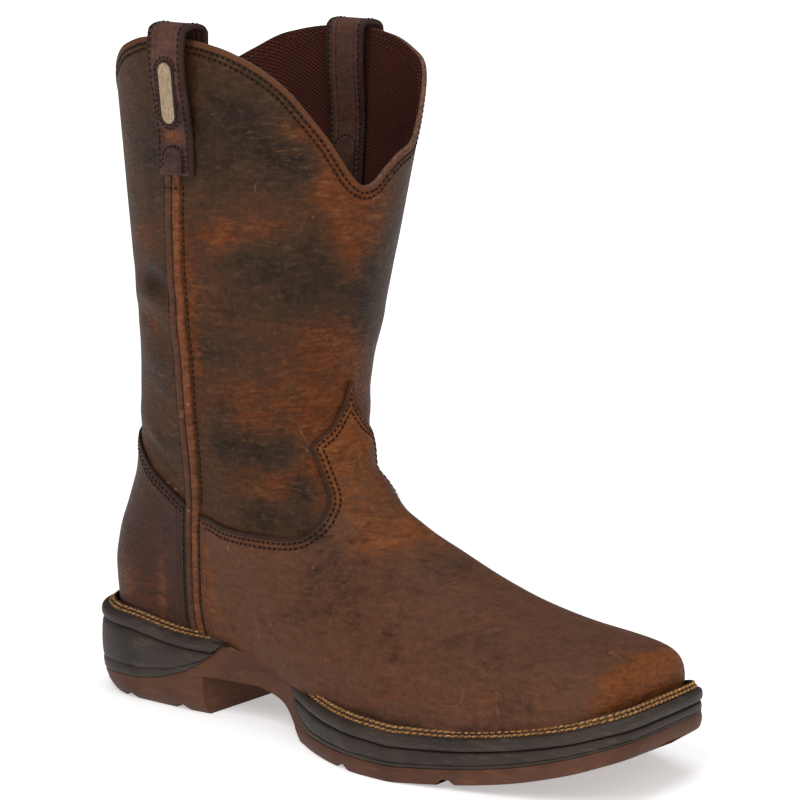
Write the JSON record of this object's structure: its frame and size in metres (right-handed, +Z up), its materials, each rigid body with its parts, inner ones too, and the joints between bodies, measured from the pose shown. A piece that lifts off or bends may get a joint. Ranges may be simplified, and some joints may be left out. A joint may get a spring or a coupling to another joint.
{
  "type": "western boot",
  "caption": "Pull-on western work boot for the right foot: broad square toe, scalloped collar, pull straps, rubber sole with a block heel.",
  "frame": {"origin": "middle of the heel's tread, on the floor", "axes": "+X towards the toe, +Y towards the inner side of the foot, +Z up the leg"},
  "size_m": [0.3155, 0.1433, 0.3197],
  "materials": {
    "gum_rubber": "satin",
    "dark_rubber": "satin",
    "insole_board": "matte",
    "shaft_leather": "satin",
    "vamp_leather": "satin",
    "counter_leather": "satin",
    "strap_leather": "satin",
    "badge_cloth": "matte"
  },
  "bodies": {
    "root": {"outsole": "gum_rubber", "midsole_forefoot": "dark_rubber", "midsole_heel": "dark_rubber", "welt_forefoot": "dark_rubber", "welt_heel": "dark_rubber", "insole": "insole_board", "upper": "shaft_leather", "vamp": "vamp_leather", "counter": "counter_leather", "bead_front_outer": "strap_leather", "bead_rear_outer": "strap_leather", "bead_front_inner": "strap_leather", "bead_rear_inner": "strap_leather", "pull_strap_outer": "strap_leather", "pull_strap_inner": "strap_leather", "badge": "badge_cloth"}
  },
  "joints": []
}
